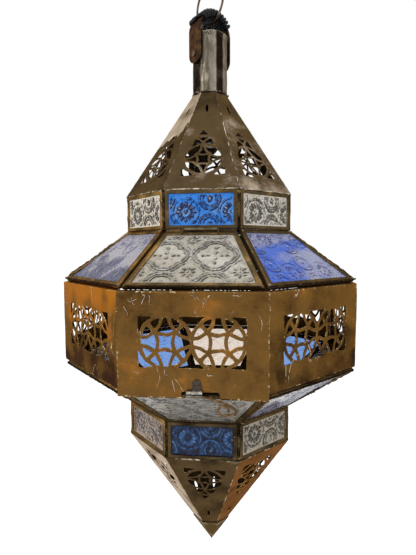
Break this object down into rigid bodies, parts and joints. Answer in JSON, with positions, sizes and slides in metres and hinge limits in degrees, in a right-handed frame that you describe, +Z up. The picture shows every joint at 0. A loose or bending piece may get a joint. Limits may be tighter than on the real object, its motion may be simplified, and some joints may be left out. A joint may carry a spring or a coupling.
{
  "type": "hanging fanous lantern",
  "caption": "Faceted hanging lantern with pierced sheet belt and cones, framed panes of blue and clear pressed glass, a drop-shut door, wire latch, cord-wound bail and ring.",
  "frame": {"origin": "top of the inside of the hanging ring, where a hook carries it", "axes": "+Z up; the door looks along -Y; +X to the right seen from the front"},
  "size_m": [0.2772, 0.281, 0.5984],
  "materials": {
    "wire": "browned round wire",
    "strap": "brown patina, worn bright at the edges",
    "cord": "black, slightly glossy",
    "tin": "tinned sheet, streaked with brown stain",
    "fittings": "plain turned brass",
    "holder": "black moulded",
    "bulb": "clear",
    "blue_glass": "pressed pattern, blue",
    "clear_glass": "pressed pattern, clear",
    "frame_metal": "olive brown patina, bright worn edges",
    "cone_metal": "pewter brown patina with soldered ridges",
    "belt_metal": "olive brass patina with orange stains",
    "solder_tin": "tinned and soldered, dull",
    "latch_metal": "copper brown wire"
  },
  "bodies": {
    "ring": {"hang_ring": "wire"},
    "bail": {"bail_strap": "strap", "bail_pin": "wire", "grip_winding": "cord"},
    "lantern": {"neck_tube": "tin", "neck_plate": "tin", "lamp_nipple": "fittings", "nipple_nuts": "fittings", "lamp_flex": "cord", "lamp_holder": "holder", "bulb_cap": "fittings", "bulb_glass": "bulb", "top_cone_gores": "cone_metal", "upper_band_frames": "frame_metal", "upper_band_blue_panes": "blue_glass", "upper_band_clear_panes": "clear_glass", "upper_frame_front_right": "frame_metal", "upper_frame_right": "frame_metal", "upper_frame_back_right": "frame_metal", "upper_frame_back": "frame_metal", "upper_frame_back_left": "frame_metal", "upper_frame_left": "frame_metal", "upper_frame_front_left": "frame_metal", "upper_blue_panes": "blue_glass", "upper_clear_panes": "clear_glass", "belt_panel_front_right": "belt_metal", "belt_panel_right": "belt_metal", "belt_panel_back_right": "belt_metal", "belt_panel_back": "belt_metal", "belt_panel_back_left": "belt_metal", "belt_panel_left": "belt_metal", "belt_panel_front_left": "belt_metal", "lower_frame_front": "frame_metal", "lower_frame_front_right": "frame_metal", "lower_frame_right": "frame_metal", "lower_frame_back_right": "frame_metal", "lower_frame_back": "frame_metal", "lower_frame_back_left": "frame_metal", "lower_frame_left": "frame_metal", "lower_frame_front_left": "frame_metal", "lower_blue_panes": "blue_glass", "lower_clear_panes": "clear_glass", "lower_band_frames": "frame_metal", "lower_band_blue_panes": "blue_glass", "lower_band_clear_panes": "clear_glass", "bottom_cone_gores": "cone_metal", "tip_cap": "cone_metal", "door_lintel": "frame_metal", "hinge_tube": "solder_tin", "latch_tube": "solder_tin"},
    "door": {"door_frame": "frame_metal", "door_pane": "clear_glass", "door_panel": "belt_metal", "door_hems": "belt_metal", "hinge_wire": "solder_tin", "latch_keeper": "solder_tin"},
    "latch": {"latch_wire": "latch_metal"}
  },
  "joints": [
    {"name": "bail_rock", "type": "hinge", "parent": "ring", "child": "bail", "pos_m": [0, 0, -0.0409], "axis": [-0.7071, 0.7071, 0], "range_deg": [-45, 45]},
    {"name": "lantern_swing", "type": "hinge", "parent": "bail", "child": "lantern", "pos_m": [0, 0, -0.07443], "axis": [0.7071, 0.7071, 0], "range_deg": [-60, 60]},
    {"name": "door_hinge", "type": "hinge", "parent": "lantern", "child": "door", "pos_m": [0, -0.08287, -0.25348], "axis": [-1, 0, 0], "range_deg": [0, 120]},
    {"name": "latch_turn", "type": "hinge", "parent": "lantern", "child": "latch", "pos_m": [0.002, -0.14118, -0.38043], "axis": [-1, 0, 0], "range_deg": [-10, 170]}
  ]
}
